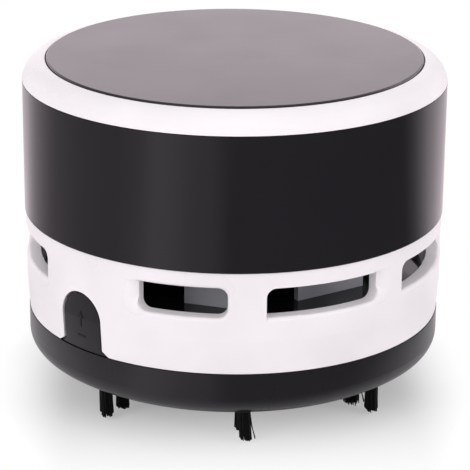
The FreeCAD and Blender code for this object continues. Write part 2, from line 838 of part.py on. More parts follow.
def filter_parts():
    """Spoked frame, mesh disc and foam ring, clipped into the collar under the fan deck."""
    frame = body("filter_frame")
    revolve(frame, "filter_rim", [
        ("filter_radius - 1.5", "filter_bottom"),
        ("filter_radius", "filter_bottom"),
        ("filter_radius", "filter_top"),
        ("filter_radius - 1.5", "filter_top"),
    ])
    hub = sketch_on(frame, "filter_hub_plan", "XY_Plane", lift="filter_bottom")
    circle_in(hub, "0", "0", "5")
    pad(frame, "filter_hub", hub, "1.2")
    spoke_plan = sketch_on(frame, "spoke_plan", "XY_Plane", lift="filter_bottom")
    outline(spoke_plan, rectangle("4", "filter_radius - 1", "-0.7", "0.7"))
    spoke = pad(frame, "spoke", spoke_plan, "1.2")
    around(frame, "spokes", [spoke], "6")
    finish(frame)
    mesh = body("filter_mesh")
    revolve(mesh, "mesh_disc", [
        ("0", "filter_bottom + 1.2"),
        ("filter_radius - 1.6", "filter_bottom + 1.2"),
        ("filter_radius - 1.6", "filter_bottom + 1.2 + mesh_thickness"),
        ("0", "filter_bottom + 1.2 + mesh_thickness"),
    ])
    finish(mesh)
    seal = body("filter_seal")
    revolve(seal, "seal_ring", [
        ("filter_radius - 1.5", "filter_top"),
        ("filter_radius", "filter_top"),
        ("filter_radius", "deck_bottom"),
        ("filter_radius - 1.5", "deck_bottom"),
    ])
    finish(seal)


# ---------------------------------------------------------------- motor

def flattened(name, radius, half_flat, low, high):
    """A round with two flats facing +X and -X."""
    wheel = rod(name + "_round", radius, low, high)
    slab = block(name + "_slab", ("-(%s)" % half_flat, "-motor_radius * 2", low),
                 (half_flat, "motor_radius * 2", high))
    return common(name, wheel, slab)


def motor():
    """Flat-sided toy motor: steel can, nylon end bell, brass tabs, shaft and foam sleeve."""
    can = flattened("can_shape", "motor_radius", "motor_half_flat", "floor_top", "can_top")
    nose = rod("can_nose", "hub_radius - 0.3", "floor_bottom + 0.6", "floor_top + 0.1")
    bore = rod("can_bore", "shaft_radius + shaft_gap", "floor_bottom", "can_top + 1")
    finish(cut("motor_can", fuse("can_solid", [can, nose]), bore))
    bell = flattened("bell_shape", "motor_radius", "motor_half_flat", "can_top", "bell_top")
    cap = rod("bell_cap", "hub_radius", "bell_top - 0.1", "bell_top + 1")
    socket = rod("bell_socket", "shaft_radius + shaft_gap", "can_top - 1", "bell_top - 0.7")
    finish(cut("motor_end_bell", fuse("bell_solid", [bell, cap]), socket))
    tabs = [block("terminal_%d" % k, ("-0.25", "%s6.5 - 1" % sign, "bell_top"),
                  ("0.25", "%s6.5 + 1" % sign, "bell_top + 2.6")) for k, sign in enumerate("+-")]
    finish(group("motor_terminals", tabs))
    finish(labelled(rod("motor_shaft", "shaft_radius", "blade_bottom - 0.3", "bell_top - 0.9"),
                    "motor_shaft"))
    outer = flattened("damper_outer", "motor_radius + damper", "motor_half_flat + damper",
                      "holder_floor", "holder_top - 1")
    inner = flattened("damper_inner", "motor_radius", "motor_half_flat", "floor_top", "holder_top")
    finish(cut("motor_damper", outer, inner))


# ---------------------------------------------------------------- upper shell and lid

def upper_shell():
    """Black band with its floor, screw holes and the switch frame at the back."""
    made = body("upper_shell")
    inside = "outer_radius - wall"
    revolve(made, "band", [
        ("hub_radius", "floor_bottom"),
        ("deck_radius", "floor_bottom"),
        ("deck_radius", "band_foot"),
        ("outer_radius - 0.05", "band_foot"),
        ("outer_radius", "band_top"),
        (inside, "band_top"),
        (inside, "floor_top + wall"),
        (inside + " - wall", "floor_top"),
        ("hub_radius", "floor_top"),
    ])
    holes = sketch_on(made, "deck_hole_plan", "XY_Plane", lift="floor_top + 1")
    for k in range(3):
        circle_in(holes, *post_place(k), "screw_clearance")
    pocket(made, "deck_holes", holes, "floor_top - floor_bottom + 2")
    pilots = sketch_on(made, "holder_pilot_plan", "XY_Plane", lift="floor_top + 1")
    for sign in ("", "-"):
        circle_in(pilots, "0", sign + "holder_screw_offset", "screw_radius")
    pocket(made, "holder_pilots", pilots, "floor_top - floor_bottom + 2")
    frame = sketch_on(made, "switch_frame_plan", "XZ_Plane", lift="-switch_face")
    outline(frame, rectangle("-9", "9", "switch_height - 5.5", "switch_height + 5.5"))
    frame_pad = pad(made, "switch_frame", frame, "2.8")
    frame_pad.Reversed = True
    window = sketch_on(made, "switch_window_plan", "XZ_Plane", lift="-switch_face + 1")
    reach = "(knob_length + switch_travel) / 2 + knob_gap"
    outline(window, rectangle("-(%s)" % reach, reach, "switch_height - knob_height / 2 - knob_gap",
                              "switch_height + knob_height / 2 + knob_gap"))
    pocket(made, "switch_window", window, "8")
    recess = sketch_on(made, "switch_recess_plan", "XZ_Plane", lift="recess_depth - outer_radius")
    outline(recess, [corner + ("2",) for corner in rectangle(
        "-(%s) - 1.6" % reach, reach + " + 1.6", "switch_height - knob_height / 2 - 1.8",
        "switch_height + knob_height / 2 + 1.8")])
    pocket(made, "switch_recess", recess, "3")
    ears = sketch_on(made, "switch_pilot_plan", "XZ_Plane", lift="-switch_face + 1")
    for sign in ("", "-"):
        circle_in(ears, sign + "switch_screw_offset", "switch_height", "switch_screw_radius")
    pocket(made, "switch_pilots", ears, "3.4")
    return finish(made)


def lid():
    """White cap with a rounded shoulder, and the black disc let into it."""
    cap = body("lid_cap")
    skirt = "outer_radius - wall - 0.2"
    revolve(cap, "cap", [
        ("0", "disc_top - disc_thickness - 1.4"),
        ("0", "disc_top - disc_thickness"),
        ("disc_radius + 0.25", "disc_top - disc_thickness"),
        ("disc_radius + 0.25", "lid_lip"),
        ("outer_radius - 0.73", "lid_lip - 0.46", "4.8"),
        ("outer_radius", "lid_foot"),
        (skirt, "lid_foot"),
        (skirt, "lid_foot - 3.4"),
        (skirt + " - 1.4", "lid_foot - 3.4"),
        (skirt + " - 1.4", "disc_top - disc_thickness - 1.4"),
    ])
    web = sketch_on(cap, "gusset_plan", "XZ_Plane", turn="gusset_azimuth - 90")
    outline(web, [
        (skirt + " - 1.0", "lid_foot - 0.7"),
        (skirt + " - 1.0", "disc_top - disc_thickness - 1.0"),
        (skirt + " - 1.4 - gusset_reach", "disc_top - disc_thickness - 1.0"),
        (skirt + " - 1.4 - gusset_reach", "disc_top - disc_thickness - 1.8"),
        (skirt + " - 1.8", "lid_foot - 0.7"),
    ])
    gusset = pad(cap, "gusset", web, "1.2")
    gusset.Midplane = True
    around(cap, "gussets", [gusset], "gusset_count")
    finish(cap)
    disc = body("top_disc")
    revolve(disc, "disc", [
        ("0", "disc_top - disc_thickness"),
        ("disc_radius", "disc_top - disc_thickness"),
        ("disc_radius", "disc_top", "0.35"),
        ("0", "disc_top"),
    ])
    finish(disc)


# ---------------------------------------------------------------- cells, holder, contacts

def battery_holder():
    """Open tray with a bay each side of the motor's well and webs between them."""
    made = body("holder_block")
    plan = sketch_on(made, "holder_plan", "XY_Plane", lift="floor_top")
    outline(plan, [corner + ("6",) for corner in rectangle(
        "-holder_half_width", "holder_half_width", "-holder_half_length", "holder_half_length")])
    pad(made, "holder_pad", plan, "holder_top - floor_top")
    hollows = [
        flattened("motor_well", "motor_radius + damper", "motor_half_flat + damper",
                  "floor_top - 1", "holder_top + 1"),
        block("right_bay", ("bay_inner", "-bay_half_length", "holder_floor"),
              ("holder_half_width - 1.6", "bay_half_length", "holder_top + 1")),
        block("left_bay", ("-holder_half_width + 1.6", "-bay_half_length", "holder_floor"),
              ("-bay_inner", "bay_half_length", "holder_top + 1")),
    ]
    for sign, side in (("", "back"), ("-", "front")):
        low, high = ("12.4", "bay_half_length") if sign == "" else ("-bay_half_length", "-12.4")
        hollows.append(block(side + "_hollow", ("-bay_inner + 1.4", low, "holder_floor"),
                             ("bay_inner - 1.4", high, "holder_top + 1")))
        hollows.append(rod(side + "_screw_hole", "screw_clearance", "floor_top - 1",
                           "holder_floor + 1", along=sign + "holder_screw_offset"))
    tray = cut("holder_tray", made, fuse("holder_hollows", hollows))
    finish(fuse("battery_holder", [tray] + [cradle(side, along) for side in ("", "-")
                                            for along in ("-cradle_offset", "cradle_offset")]))


def cradle(side, along):
    """A rib across a bay with a hollow that its cell lies in."""
    name = "%s_%s_cradle" % ("left" if side else "right", "front" if along[0] == "-" else "back")
    inner = "bay_inner - 0.1"
    outer = "holder_half_width - 1.5"
    left, right = ("-(%s)" % outer, "-(%s)" % inner) if side else (inner, outer)
    rib = block(name + "_rib", (left, along + " - 0.7", "holder_floor - 0.1"),
                (right, along + " + 0.7", "holder_floor + cradle_height"))
    hollow = lying_rod(name + "_hollow", "cell_radius + 0.05", along + " - 1", along + " + 1",
                       side + "cell_offset", "holder_floor + cell_radius")
    return cut(name, rib, hollow)


def battery_cells():
    """Two AA cells, nubs at opposite ends."""
    cells = []
    tip = "bay_half_length - plate_thickness"
    axis_height = "holder_floor + cell_radius"
    for name, sign in (("right", ""), ("left", "-")):
        across = sign + "cell_offset"
        can_end = "%s - nub_length" % tip
        can_start = "%s - cell_length" % can_end
        nub_end = tip
        if sign == "-":
            can_start, can_end, nub_start, nub_end = (
                "-(%s)" % can_end, "-(%s)" % can_start, "-(%s)" % tip, "-(%s) + 0.2" % can_end)
        else:
            nub_start = can_end + " - 0.2"
        can = lying_rod(name + "_cell_can", "cell_radius", can_start, can_end, across, axis_height)
        nub = lying_rod(name + "_cell_nub", "nub_radius", nub_start, nub_end, across, axis_height)
        cells.append(fuse(name + "_cell", [can, nub]))
    finish(group("battery_cells", cells))


def contacts():
    """Sprung plates at the flat ends of the cells and plain plates at the nubs."""
    half_wire = size("contact_wire")
    half_width = size("contact_half_width")
    thick = size("plate_thickness")
    end = size("bay_half_length")
    flat_end = size("cell_length + nub_length") - (end - thick)
    foot = half_wire * 0.7
    length = end - thick - flat_end - foot - half_wire * 1.3
    sprung = []
    plain = []
    for side in (1, -1):
        centre = Vector(side * size("cell_offset"), 0, size("holder_floor + cell_radius"))
        plate = Part.makeBox(2 * half_width, thick, 2 * half_width,
                             centre + Vector(-half_width, 0, -half_width))
        back_plate = plate.translated(Vector(0, end - thick, 0)).fuse(solder_lug(side))
        front_plate = plate.translated(Vector(0, -end, 0))
        plain_plate, spring_plate = (back_plate, front_plate)[::side]
        plain.append(plain_plate)
        spring = coil(length, 3, size("contact_spring_foot"), size("contact_spring_tip"), half_wire)
        spring.Placement = Placement(centre - Vector(0, side * (end - thick - foot), 0),
                                     Rotation(Vector(0, 0, 1), Vector(0, side, 0)))
        sprung.append(spring_plate.fuse(spring))
    joined_solids("contact_springs", sprung)
    joined_solids("contact_plates", plain)
    bridge = block("contact_bridge", ("-cell_offset", "-bay_half_length - bridge_width", "holder_top"),
                   ("cell_offset", "-bay_half_length", "holder_top + plate_thickness"))
    finish(labelled(bridge, "contact_bridge"))


def solder_lug(side):
    """The tongue of a rear contact, bent back over the holder's wall for its lead."""
    width = size("bridge_width")
    across = side * size("cell_offset")
    return Part.makeBox(2 * width, width, size("plate_thickness"),
                        Vector(across - width, size("bay_half_length"), size("holder_top")))


def lead(points):
    """A round wire along straight runs and, at each corner, short chords of a tangent arc."""
    radius = size("lead_radius")
    path = [points[0]]
    for before, corner, after in zip(points, points[1:], points[2:]):
        back = before - corner
        ahead = after - corner
        half_turn = (math.pi - back.getAngle(ahead)) / 2
        reach = 0.45 * min(back.Length, ahead.Length)
        arc_start = corner + Vector(back).normalize() * reach
        arc_end = corner + Vector(ahead).normalize() * reach
        bisector = (Vector(back).normalize() + Vector(ahead).normalize()).normalize()
        sag = reach / math.sin(half_turn) - reach / math.tan(half_turn)
        bend = Part.Arc(arc_start, corner + bisector * sag, arc_end).toShape()
        path.extend(bend.discretize(Number=int(2 * math.degrees(half_turn) / 12) + 2))
    path.append(points[-1])
    section = Part.Wire(Part.Circle(points[0], points[1] - points[0], radius).toShape())
    spine = Part.makePolygon(path)
    made = spine.makePipeShell([section], True, False, 1)
    expected = math.pi * radius ** 2 * spine.Length
    if abs(made.Volume / expected - 1) > 0.01:
        raise RuntimeError("a lead has %.2f of its volume" % (made.Volume / expected))
    return made


def leads():
    """Red leads from the right cell to the switch and on to the motor, and its black return."""
    lug_top = size("holder_top + plate_thickness + lead_radius")
    lug_along = size("bay_half_length + bridge_width / 2")
    across = size("cell_offset")
    pin_end = size("switch_face") - 7
    pin_height = size("switch_height")
    tab_face = 0.25
    tab_height = size("bell_top") + 1.3
    tab_along = 6.5
    to_switch = [Vector(across + 1, lug_along, lug_top), Vector(across - 4, lug_along, lug_top),
                 Vector(9.5, lug_along - 1, pin_height + 3.2), Vector(5, 25.6, pin_height + 2.6),
                 Vector(3, 26.6, pin_height), Vector(3, pin_end, pin_height)]
    to_motor = [Vector(0, pin_end, pin_height), Vector(0, 26.2, pin_height),
                Vector(1.2, 22.5, pin_height + 5), Vector(7.2, 15, pin_height + 10.2),
                Vector(8.6, 4, tab_height + 0.4), Vector(6.2, -tab_along, tab_height),
                Vector(tab_face, -tab_along, tab_height)]
    back = [Vector(-across - 1, lug_along, lug_top), Vector(-across + 4, lug_along, lug_top),
            Vector(-9.8, lug_along - 1.5, pin_height + 3), Vector(-7.8, 20, pin_height + 8),
            Vector(-6.6, 10, tab_height + 0.2), Vector(-4.6, tab_along, tab_height),
            Vector(-tab_face, tab_along, tab_height)]
    joined_solids("red_leads", [lead(to_switch), lead(to_motor)])
    joined_solids("black_lead", [lead(back)])


# ---------------------------------------------------------------- switch and screws

def slide_switch():
    """Switch case behind the wall, its knob in the window and its two screws."""
    face = "switch_face"
    mid = "switch_height"
    case = block("switch_case", ("-6", face + " - 5", mid + " - 3.4"), ("6", face, mid + " + 3.4"))
    ears = block("switch_ears", ("-9", face + " - 0.8", mid + " - 1.6"), ("9", face, mid + " + 1.6"))
    slit = block("switch_slit", ("-switch_travel / 2 - 1.2", face + " - 2", mid + " - 1.2"),
                 ("switch_travel / 2 + 1.2", face + " + 1", mid + " + 1.2"))
    screw_holes = [lying_rod("ear_hole_%d" % k, "0.85", face + " - 2", face + " + 1",
                             sign + "switch_screw_offset", mid) for k, sign in enumerate(("", "-"))]
    pins = [block("switch_pin_%d" % k, ("%s - 0.4" % x, face + " - 7", mid + " - 0.25"),
                  ("%s + 0.4" % x, face + " - 4.9", mid + " + 0.25"))
            for k, x in enumerate(("-3", "0", "3"))]
    finish(cut("switch_body", fuse("switch_solid", [case, ears] + pins),
               fuse("switch_hollows", [slit] + screw_holes)))
    left = "-switch_travel / 2"
    cap = block("knob_cap", (left + " - knob_length / 2", face + " + 0.6", mid + " - knob_height / 2"),
                (left + " + knob_length / 2", "outer_radius - 0.25", mid + " + knob_height / 2"))
    stem = block("knob_stem", (left + " - 1", face + " - 1.8", mid + " - 1"),
                 (left + " + 1", face + " + 0.7", mid + " + 1"))
    grooves = [block("knob_groove_%d" % k, ("%s + %s - 0.25" % (left, x), "outer_radius - 0.7",
                                            mid + " - knob_height"),
                     ("%s + %s + 0.25" % (left, x), "outer_radius", mid + " + knob_height"))
               for k, x in enumerate(("-2", "-1", "0", "1", "2"))]
    finish(cut("switch_knob", fuse("knob_solid", [cap, stem]), fuse("knob_grooves", grooves)))
    screws = []
    for k, sign in enumerate(("", "-")):
        shank = lying_rod("switch_shank_%d" % k, "switch_screw_radius", face + " - 1", face + " + 2.3",
                          sign + "switch_screw_offset", mid)
        head = lying_rod("switch_head_%d" % k, "1.4", face + " - 1.9", face + " - 0.8",
                         sign + "switch_screw_offset", mid)
        screws.append(fuse("switch_screw_%d" % k, [shank, head]))
    finish(group("switch_screws", screws))


def upright_screw(name, across, along, tip, seat):
    shank = rod(name + "_shank", "screw_radius", tip, seat + " + 0.1", across, along)
    head = rod(name + "_head", "head_radius", seat, seat + " + head_height", across, along)
    return fuse(name, [shank, head])


def screws():
    deck = [upright_screw("deck_screw_%d" % k, *post_place(k), "floor_bottom - 8", "floor_top")
            for k in range(3)]
    finish(group("deck_screws", deck))
    holder = [upright_screw("holder_screw_%d" % k, "0", sign + "holder_screw_offset",
                            "floor_bottom + 0.2", "holder_floor") for k, sign in enumerate(("", "-"))]
    finish(group("holder_screws", holder))


def check_and_write():
    DOC.recompute()
    for item in DOC.Objects:
        if "Invalid" in item.State or "Error" in item.State:
            raise RuntimeError("%s is %s" % (item.Name, item.State))
    os.makedirs("parts", exist_ok=True)
    for node in NODES:
        if node.Shape.isNull() or not node.Shape.isValid():
            raise RuntimeError(node.Label + " has no valid shape")
    for node in NODES:
        node.Shape.exportStep(os.path.join("parts", node.Label + ".step"))
        print(node.Label, len(node.Shape.Solids), round(node.Shape.Volume, 1))


fill_sheet()
base_tray()
bristle_tufts("inner_bristle_tufts", "inner_tuft_circle")
bristle_tufts("outer_bristle_tufts", "outer_tuft_circle")
vent_shell()
release_tab()
tab_spring()
fan_deck()
diffuser_vanes()
impeller()
filter_parts()
motor()
upper_shell()
lid()
battery_holder()
battery_cells()
contacts()
leads()
slide_switch()
screws()
check_and_write()
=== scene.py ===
"""Desktop mini vacuum cleaner: materials, bristles, screws and the studio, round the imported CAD."""
import math
import random
from collections import namedtuple

import bmesh
import bpy
from mathutils import Matrix, Vector
from mathutils.bvhtree import BVHTree


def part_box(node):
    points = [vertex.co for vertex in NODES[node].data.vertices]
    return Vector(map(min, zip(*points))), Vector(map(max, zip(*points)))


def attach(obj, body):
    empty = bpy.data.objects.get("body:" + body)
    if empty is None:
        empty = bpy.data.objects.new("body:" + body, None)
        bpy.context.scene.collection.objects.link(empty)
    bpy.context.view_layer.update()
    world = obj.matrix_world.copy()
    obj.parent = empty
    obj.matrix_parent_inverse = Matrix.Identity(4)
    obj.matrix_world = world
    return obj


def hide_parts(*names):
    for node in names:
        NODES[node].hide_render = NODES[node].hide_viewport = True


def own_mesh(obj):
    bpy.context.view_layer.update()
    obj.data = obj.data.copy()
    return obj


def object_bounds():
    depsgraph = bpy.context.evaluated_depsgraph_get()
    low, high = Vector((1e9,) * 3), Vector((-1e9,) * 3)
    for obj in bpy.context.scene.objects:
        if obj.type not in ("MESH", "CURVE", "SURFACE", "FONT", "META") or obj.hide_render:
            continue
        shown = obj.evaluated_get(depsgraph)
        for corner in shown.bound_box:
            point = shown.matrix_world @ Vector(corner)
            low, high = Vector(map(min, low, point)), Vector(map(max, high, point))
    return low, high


MM = 0.001
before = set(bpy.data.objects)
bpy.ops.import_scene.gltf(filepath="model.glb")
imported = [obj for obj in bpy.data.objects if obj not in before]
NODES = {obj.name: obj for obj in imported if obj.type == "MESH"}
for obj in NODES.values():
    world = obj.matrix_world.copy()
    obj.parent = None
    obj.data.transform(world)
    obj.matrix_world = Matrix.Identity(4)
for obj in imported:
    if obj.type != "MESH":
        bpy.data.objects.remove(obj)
CAD_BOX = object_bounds()
bpy.context.scene.view_settings.view_transform = "Standard"


# ---------------------------------------------------------------- places worked out from the frame

Span = namedtuple("Span", "low high middle")
SOLID_REACH = 11 * MM       # farther than this from a solid's first vertex, another solid begins


def solids_of(node):
    """The box of each solid of a node whose solids are small and lie well apart."""
    groups = []
    for vertex in NODES[node].data.vertices:
        near = [group for group in groups if (vertex.co - group[0]).length < SOLID_REACH]
        if near:
            near[0].append(vertex.co)
        else:
            groups.append([vertex.co])
    spans = []
    for group in groups:
        low = Vector([min(co[axis] for co in group) for axis in range(3)])
        high = Vector([max(co[axis] for co in group) for axis in range(3)])
        spans.append(Span(low, high, (low + high) / 2))
    return spans


# ---------------------------------------------------------------- camera

CAMERA_AZIMUTH = -3.65              # degrees from -Y towards +X
CAMERA_ELEVATION = 18.66            # degrees above the horizon
CAMERA_DISTANCE = 0.4675            # metres to the aim point
AIM_HEIGHT = 0.03825                # metres: the seam over the vent ring
CAMERA_LENS = 175.5                 # mm on a 36 mm sensor
CAMERA_ROLL = 0.0078                # radians
FRAME_SHIFT = (0.0025, -0.0722)     # of the frame's width


def add_camera():
    data = bpy.data.cameras.new("camera")
    data.lens = CAMERA_LENS
    data.sensor_width = 36.0
    data.shift_x, data.shift_y = FRAME_SHIFT
    data.clip_start = 0.01
    data.clip_end = 20.0
    camera = bpy.data.objects.new("camera", data)
    bpy.context.scene.collection.objects.link(camera)
    azimuth = math.radians(CAMERA_AZIMUTH)
    elevation = math.radians(CAMERA_ELEVATION)
    back = Vector((math.sin(azimuth) * math.cos(elevation),
                   -math.cos(azimuth) * math.cos(elevation),
                   math.sin(elevation)))
    turn = (-back).to_track_quat("-Z", "Y").to_matrix().to_4x4()
    roll = Matrix.Rotation(CAMERA_ROLL, 4, "Z")
    place = Matrix.Translation(Vector((0, 0, AIM_HEIGHT)) + back * CAMERA_DISTANCE)
    camera.matrix_world = place @ turn @ roll
    bpy.context.scene.camera = camera


# ---------------------------------------------------------------- node helpers

# A Mix node's colour sockets, by place because its other sockets have the same names.
MIX_FIRST = 6
MIX_SECOND = 7
MIX_RESULT = 2
NOISE_RANGE = (0.2, 0.8)    # holds nearly all the values of a noise


class Nodes:
    """Short calls for building a node tree."""

    def __init__(self, tree):
        self.tree = tree

    def add(self, kind, **settings):
        node = self.tree.nodes.new(kind)
        for key, value in settings.items():
            setattr(node, key, value)
        return node

    def feed(self, socket, value):
        """Links a socket to another one, or sets it to a plain value."""
        if isinstance(value, bpy.types.NodeSocket):
            self.tree.links.new(value, socket)
        else:
            socket.default_value = value

    def math(self, operation, *values):
        node = self.add("ShaderNodeMath", operation=operation)
        for socket, value in zip(node.inputs, values):
            self.feed(socket, value)
        return node.outputs["Value"]

    def parts(self, vector):
        """The X, Y and Z of a vector."""
        node = self.add("ShaderNodeSeparateXYZ")
        self.feed(node.inputs["Vector"], vector)
        return [node.outputs[name] for name in "XYZ"]

    def fade(self, value, start, end, low=0.0, high=1.0, kind="SMOOTHSTEP"):
        """Runs from low, where the value is at start, to high, where it is at end."""
        node = self.add("ShaderNodeMapRange", interpolation_type=kind)
        for name, given in (("Value", value), ("From Min", start), ("From Max", end),
                            ("To Min", low), ("To Max", high)):
            self.feed(node.inputs[name], given)
        return node.outputs["Result"]

    def pick(self, factor, first, second):
        """Blends from the first colour, at factor 0, to the second, at 1."""
        node = self.add("ShaderNodeMix", data_type="RGBA")
        self.feed(node.inputs["Factor"], factor)
        self.feed(node.inputs[MIX_FIRST], first)
        self.feed(node.inputs[MIX_SECOND], second)
        return node.outputs[MIX_RESULT]


def opaque(color):
    return (*color, 1.0)


def shade(color, factor):
    return [min(1.0, channel * factor) for channel in color]


class Surface(Nodes):
    """A Principled material under construction, laid out in the object's own millimetres."""

    def __init__(self, name, color, roughness):
        self.material = bpy.data.materials.new(name)
        self.material.use_nodes = True
        super().__init__(self.material.node_tree)
        self.shader = self.tree.nodes["Principled BSDF"]
        self.set("Base Color", opaque(color))
        self.set("Roughness", roughness)
        scale = self.add("ShaderNodeVectorMath", operation="SCALE")
        self.feed(scale.inputs["Vector"], self.add("ShaderNodeTexCoord").outputs["Object"])
        scale.inputs["Scale"].default_value = 1 / MM
        self.place = scale.outputs["Vector"]

    def set(self, socket, value):
        self.shader.inputs[socket].default_value = value

    def drive(self, socket, value):
        self.feed(self.shader.inputs[socket], value)

    def noise(self, size_mm, detail=2.0, stretch=(1, 1, 1)):
        """Noise whose blotches are about size_mm across, longer along an axis of small stretch."""
        mapping = self.add("ShaderNodeMapping")
        mapping.inputs["Scale"].default_value = stretch
        self.feed(mapping.inputs["Vector"], self.place)
        node = self.add("ShaderNodeTexNoise")
        node.inputs["Scale"].default_value = 1 / size_mm
        node.inputs["Detail"].default_value = detail
        self.feed(node.inputs["Vector"], mapping.outputs["Vector"])
        return node.outputs["Fac"]

    def vary_roughness(self, noise, low, high):
        self.drive("Roughness", self.fade(noise, *NOISE_RANGE, low, high))

    def vary_color(self, noise, first, second):
        factor = self.fade(noise, *NOISE_RANGE)
        self.drive("Base Color", self.pick(factor, opaque(first), opaque(second)))

    def bump(self, height, depth_mm):
        node = self.add("ShaderNodeBump")
        node.inputs["Strength"].default_value = 1.0
        node.inputs["Distance"].default_value = depth_mm * MM
        self.feed(node.inputs["Height"], height)
        self.drive("Normal", node.outputs["Normal"])


# ---------------------------------------------------------------- kinds of material

GRAIN_MM = 0.4              # the grain of a mould
MOTTLE_MM = 16.0            # the slow change over a moulded piece
MOTTLE_ROUGHNESS = 0.04
MOTTLE_SHADE = 0.04
BRUSH_MM = 1.1              # the width of a brush mark on metal
BRUSH_DETAIL = 4.0
TARNISH_MM = 7.0
THREAD_EDGE = (0.55, 0.8)   # the height over which a mesh's gap turns into thread
PORES_PER_MM = 2.2          # of foam
FOAM_SHADE_MM = 0.6


def moulded(name, color, roughness, grain_mm):
    """Moulded plastic: fine grain, and a finish and shade that change slowly over the piece."""
    made = Surface(name, color, roughness)
    mottle = made.noise(MOTTLE_MM)
    made.vary_roughness(mottle, roughness - MOTTLE_ROUGHNESS, roughness + MOTTLE_ROUGHNESS)
    made.vary_color(mottle, shade(color, 1 - MOTTLE_SHADE), shade(color, 1 + MOTTLE_SHADE))
    made.bump(made.noise(GRAIN_MM), grain_mm)
    return made


def metal(name, color, roughness, stretch=(1, 1, 1)):
    """Plated metal with brush marks along the axis of small stretch."""
    made = Surface(name, color, roughness)
    made.set("Metallic", 1.0)
    brush = made.noise(BRUSH_MM, BRUSH_DETAIL, stretch)
    made.vary_roughness(brush, roughness - 0.06, roughness + 0.08)
    made.vary_color(made.noise(TARNISH_MM), shade(color, 0.93), shade(color, 1.05))
    made.bump(brush, depth_mm=0.002)
    return made


def weave(name, thread, gap, pitch_mm):
    """Plain-woven mesh: threads both ways at one pitch, with dark gaps between them."""
    made = Surface(name, thread, roughness=0.7)
    across, along, _ = made.parts(made.place)
    ridges = []
    for place in (across, along):
        turned = made.math("MULTIPLY", place, math.pi / pitch_mm)
        ridges.append(made.math("ABSOLUTE", made.math("SINE", turned)))
    height = made.math("MAXIMUM", *ridges)
    made.drive("Base Color", made.pick(made.fade(height, *THREAD_EDGE), opaque(gap), opaque(thread)))
    made.bump(height, depth_mm=0.15)
    return made


def foam(name, color):
    """Closed-cell foam: pores of one size, and a shade that changes between them."""
    made = Surface(name, color, roughness=0.92)
    pores = made.add("ShaderNodeTexVoronoi")
    pores.inputs["Scale"].default_value = PORES_PER_MM
    made.feed(pores.inputs["Vector"], made.place)
    made.vary_color(made.noise(FOAM_SHADE_MM), shade(color, 0.7), shade(color, 1.25))
    made.bump(pores.outputs["Distance"], depth_mm=0.12)
    return made


# ---------------------------------------------------------------- materials of the CAD nodes

BLACK = (0.0086, 0.0082, 0.0102)
DISC_BLACK = (0.016, 0.0145, 0.0155)
INNER_BLACK = (0.012, 0.012, 0.013)
WHITE = (0.86, 0.82, 0.845)
VANE_GREY = (0.68, 0.67, 0.74)
FRAME_GREY = (0.1, 0.1, 0.11)
FOAM_GREY = (0.045, 0.045, 0.05)
MESH_WHITE = (0.74, 0.74, 0.72)
MESH_GAP = (0.16, 0.16, 0.16)
NYLON_WHITE = (0.82, 0.8, 0.74)
SLEEVE_RED = (0.45, 0.012, 0.012)
CAN_STEEL = (0.6, 0.6, 0.61)
PLATED_STEEL = (0.62, 0.62, 0.64)
NICKEL = (0.66, 0.64, 0.6)
BRASS = (0.72, 0.56, 0.27)
WRAP_BLUE = (0.02, 0.07, 0.16)
WRAP_BAND = (0.6, 0.61, 0.62)

BARE_END_RADIUS = 6.3       # mm from a cell's axis, inside the wrap's folded edge
BAND_START = 15.5           # mm along a cell from its middle, towards the nub
BAND_END = 19.5
WRAP_METALLIC = 0.25        # of the wrap, over a can that is all metal


def paint(node, surface):
    """Gives a CAD node its material in every slot."""
    mesh = NODES[node].data
    mesh.materials.clear()
    mesh.materials.append(surface.material)


def dress_shells():
    paint("upper_shell", moulded("drum_black", BLACK, roughness=0.12, grain_mm=0.0006))
    paint("base_tray", moulded("tray_black", BLACK, roughness=0.25, grain_mm=0.002))
    paint("release_tab", moulded("tab_black", BLACK, roughness=0.3, grain_mm=0.002))
    disc = moulded("disc_black", DISC_BLACK, roughness=0.22, grain_mm=0.0005)
    disc.set("Coat Weight", 0.5)
    disc.set("Coat Roughness", 0.12)
    paint("top_disc", disc)
    white = moulded("shell_white", WHITE, roughness=0.3, grain_mm=0.0008)
    paint("vent_shell", white)
    paint("lid_cap", white)


def dress_inside():
    dark = moulded("inside_black", INNER_BLACK, roughness=0.4, grain_mm=0.002)
    for node in ("impeller", "battery_holder", "switch_body", "switch_knob"):
        paint(node, dark)
    paint("diffuser_deck", moulded("deck_black", INNER_BLACK, roughness=0.1, grain_mm=0.0005))
    paint("diffuser_vanes", moulded("vane_grey", VANE_GREY, roughness=0.35, grain_mm=0.002))
    paint("filter_frame", moulded("filter_frame_grey", FRAME_GREY, roughness=0.45, grain_mm=0.002))
    paint("filter_mesh", weave("filter_mesh_white", MESH_WHITE, MESH_GAP, pitch_mm=0.7))
    sponge = foam("foam", FOAM_GREY)
    paint("filter_seal", sponge)
    paint("motor_damper", sponge)
    paint("motor_end_bell", moulded("nylon", NYLON_WHITE, roughness=0.4, grain_mm=0.001))
    paint("red_leads", moulded("red_sleeve", SLEEVE_RED, roughness=0.32, grain_mm=0.001))
    paint("black_lead", moulded("black_sleeve", INNER_BLACK, roughness=0.32, grain_mm=0.001))


def dress_metal():
    """Paints the metal nodes, and hands back the steel of the screws and the spring."""
    paint("motor_can", metal("can_steel", CAN_STEEL, 0.3, stretch=(1, 1, 0.06)))
    steel = metal("plated_steel", PLATED_STEEL, 0.28)
    paint("motor_shaft", steel)
    nickel = metal("nickel", NICKEL, 0.25)
    for node in ("contact_springs", "contact_plates", "contact_bridge"):
        paint(node, nickel)
    paint("motor_terminals", metal("brass", BRASS, 0.3))
    paint("battery_cells", cell_wrap())
    return steel


